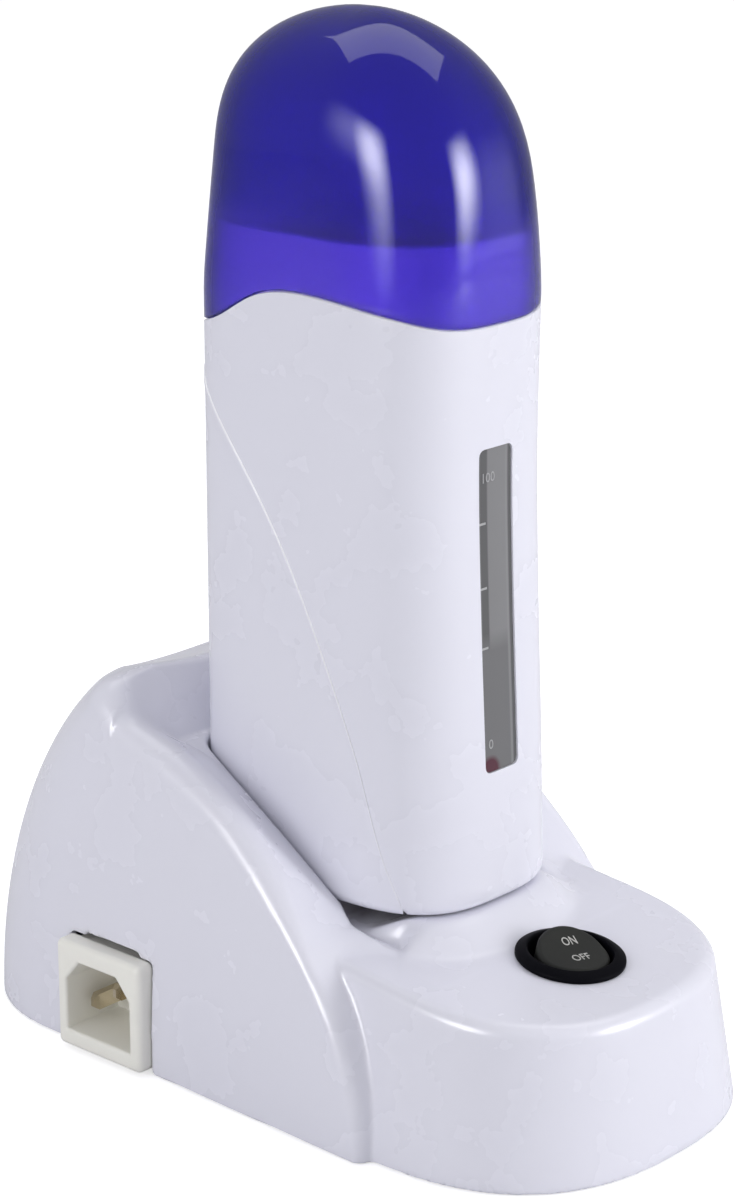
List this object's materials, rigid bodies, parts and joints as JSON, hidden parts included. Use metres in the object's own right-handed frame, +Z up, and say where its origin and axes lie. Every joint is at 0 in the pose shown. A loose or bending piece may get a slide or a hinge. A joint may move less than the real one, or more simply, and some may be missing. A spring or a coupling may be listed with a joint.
{
  "type": "roll-on wax heater",
  "caption": "Slim roll-on wax heater: handset with translucent lift-off cap and level window, standing in a mains base with a round rocker switch and rear scoop.",
  "frame": {"origin": "on the surface the base stands on, at the middle of its length and on the symmetry plane of base and handset", "axes": "+Z up, +Y to the back, so the switch deck is at -Y and the mains inlet on the -X cheek"},
  "size_m": [0.0955, 0.177, 0.2235],
  "materials": {
    "white_gloss": "gloss",
    "white_satin": "satin",
    "foot_rubber": "matt",
    "screw_steel": "plated",
    "inlet_ivory": "satin",
    "contact_plated": "plated",
    "switch_black": "gloss",
    "rocker_black": "semi-gloss",
    "contact_brass": "bright",
    "block_dark": "matt",
    "lead_brown": "smooth",
    "lead_black": "smooth",
    "lead_blue": "smooth",
    "lead_red": "smooth",
    "liner_alu": "drawn",
    "heater_steel": "satin",
    "window_clear": "clear grey",
    "lamp_red": "clear red",
    "cap_violet": "translucent gloss"
  },
  "bodies": {
    "base": {"base_housing": "white_gloss", "base_bottom_plate": "white_satin", "base_feet": "foot_rubber", "base_screws": "screw_steel", "inlet_body": "inlet_ivory", "inlet_pins": "contact_plated", "switch_body": "switch_black", "switch_terminals": "contact_brass", "dock_plug": "block_dark", "dock_pins": "contact_brass", "dock_screws": "screw_steel", "lead_live": "lead_brown", "lead_switched": "lead_black", "lead_neutral": "lead_blue"},
    "rocker": {"switch_rocker": "rocker_black"},
    "handset": {"handset_main_shell": "white_gloss", "handset_back_shell": "white_gloss", "chamber_collar": "white_satin", "chamber_liner": "liner_alu", "heater_plates": "heater_steel", "heater_clamps": "heater_steel", "thermostat": "block_dark", "window_lens": "window_clear", "indicator_lamp": "lamp_red", "handset_socket": "block_dark", "socket_contacts": "contact_brass", "handset_screws": "screw_steel", "lead_heater": "lead_red", "lead_return": "lead_blue"},
    "cap": {"cap": "cap_violet"}
  },
  "joints": [
    {"name": "switch_tilt", "type": "hinge", "parent": "base", "child": "rocker", "pos_m": [0, -0.05969, 0.03202], "axis": [-0.9397, 0.3401, 0.0358], "range_deg": [0, 22]},
    {"name": "handset_lift", "type": "slide", "parent": "base", "child": "handset", "axis": [0, 0, 1], "range_m": [0, 0.12]},
    {"name": "cap_lift", "type": "slide", "parent": "handset", "child": "cap", "axis": [0, 0, 1], "range_m": [0, 0.1]}
  ]
}
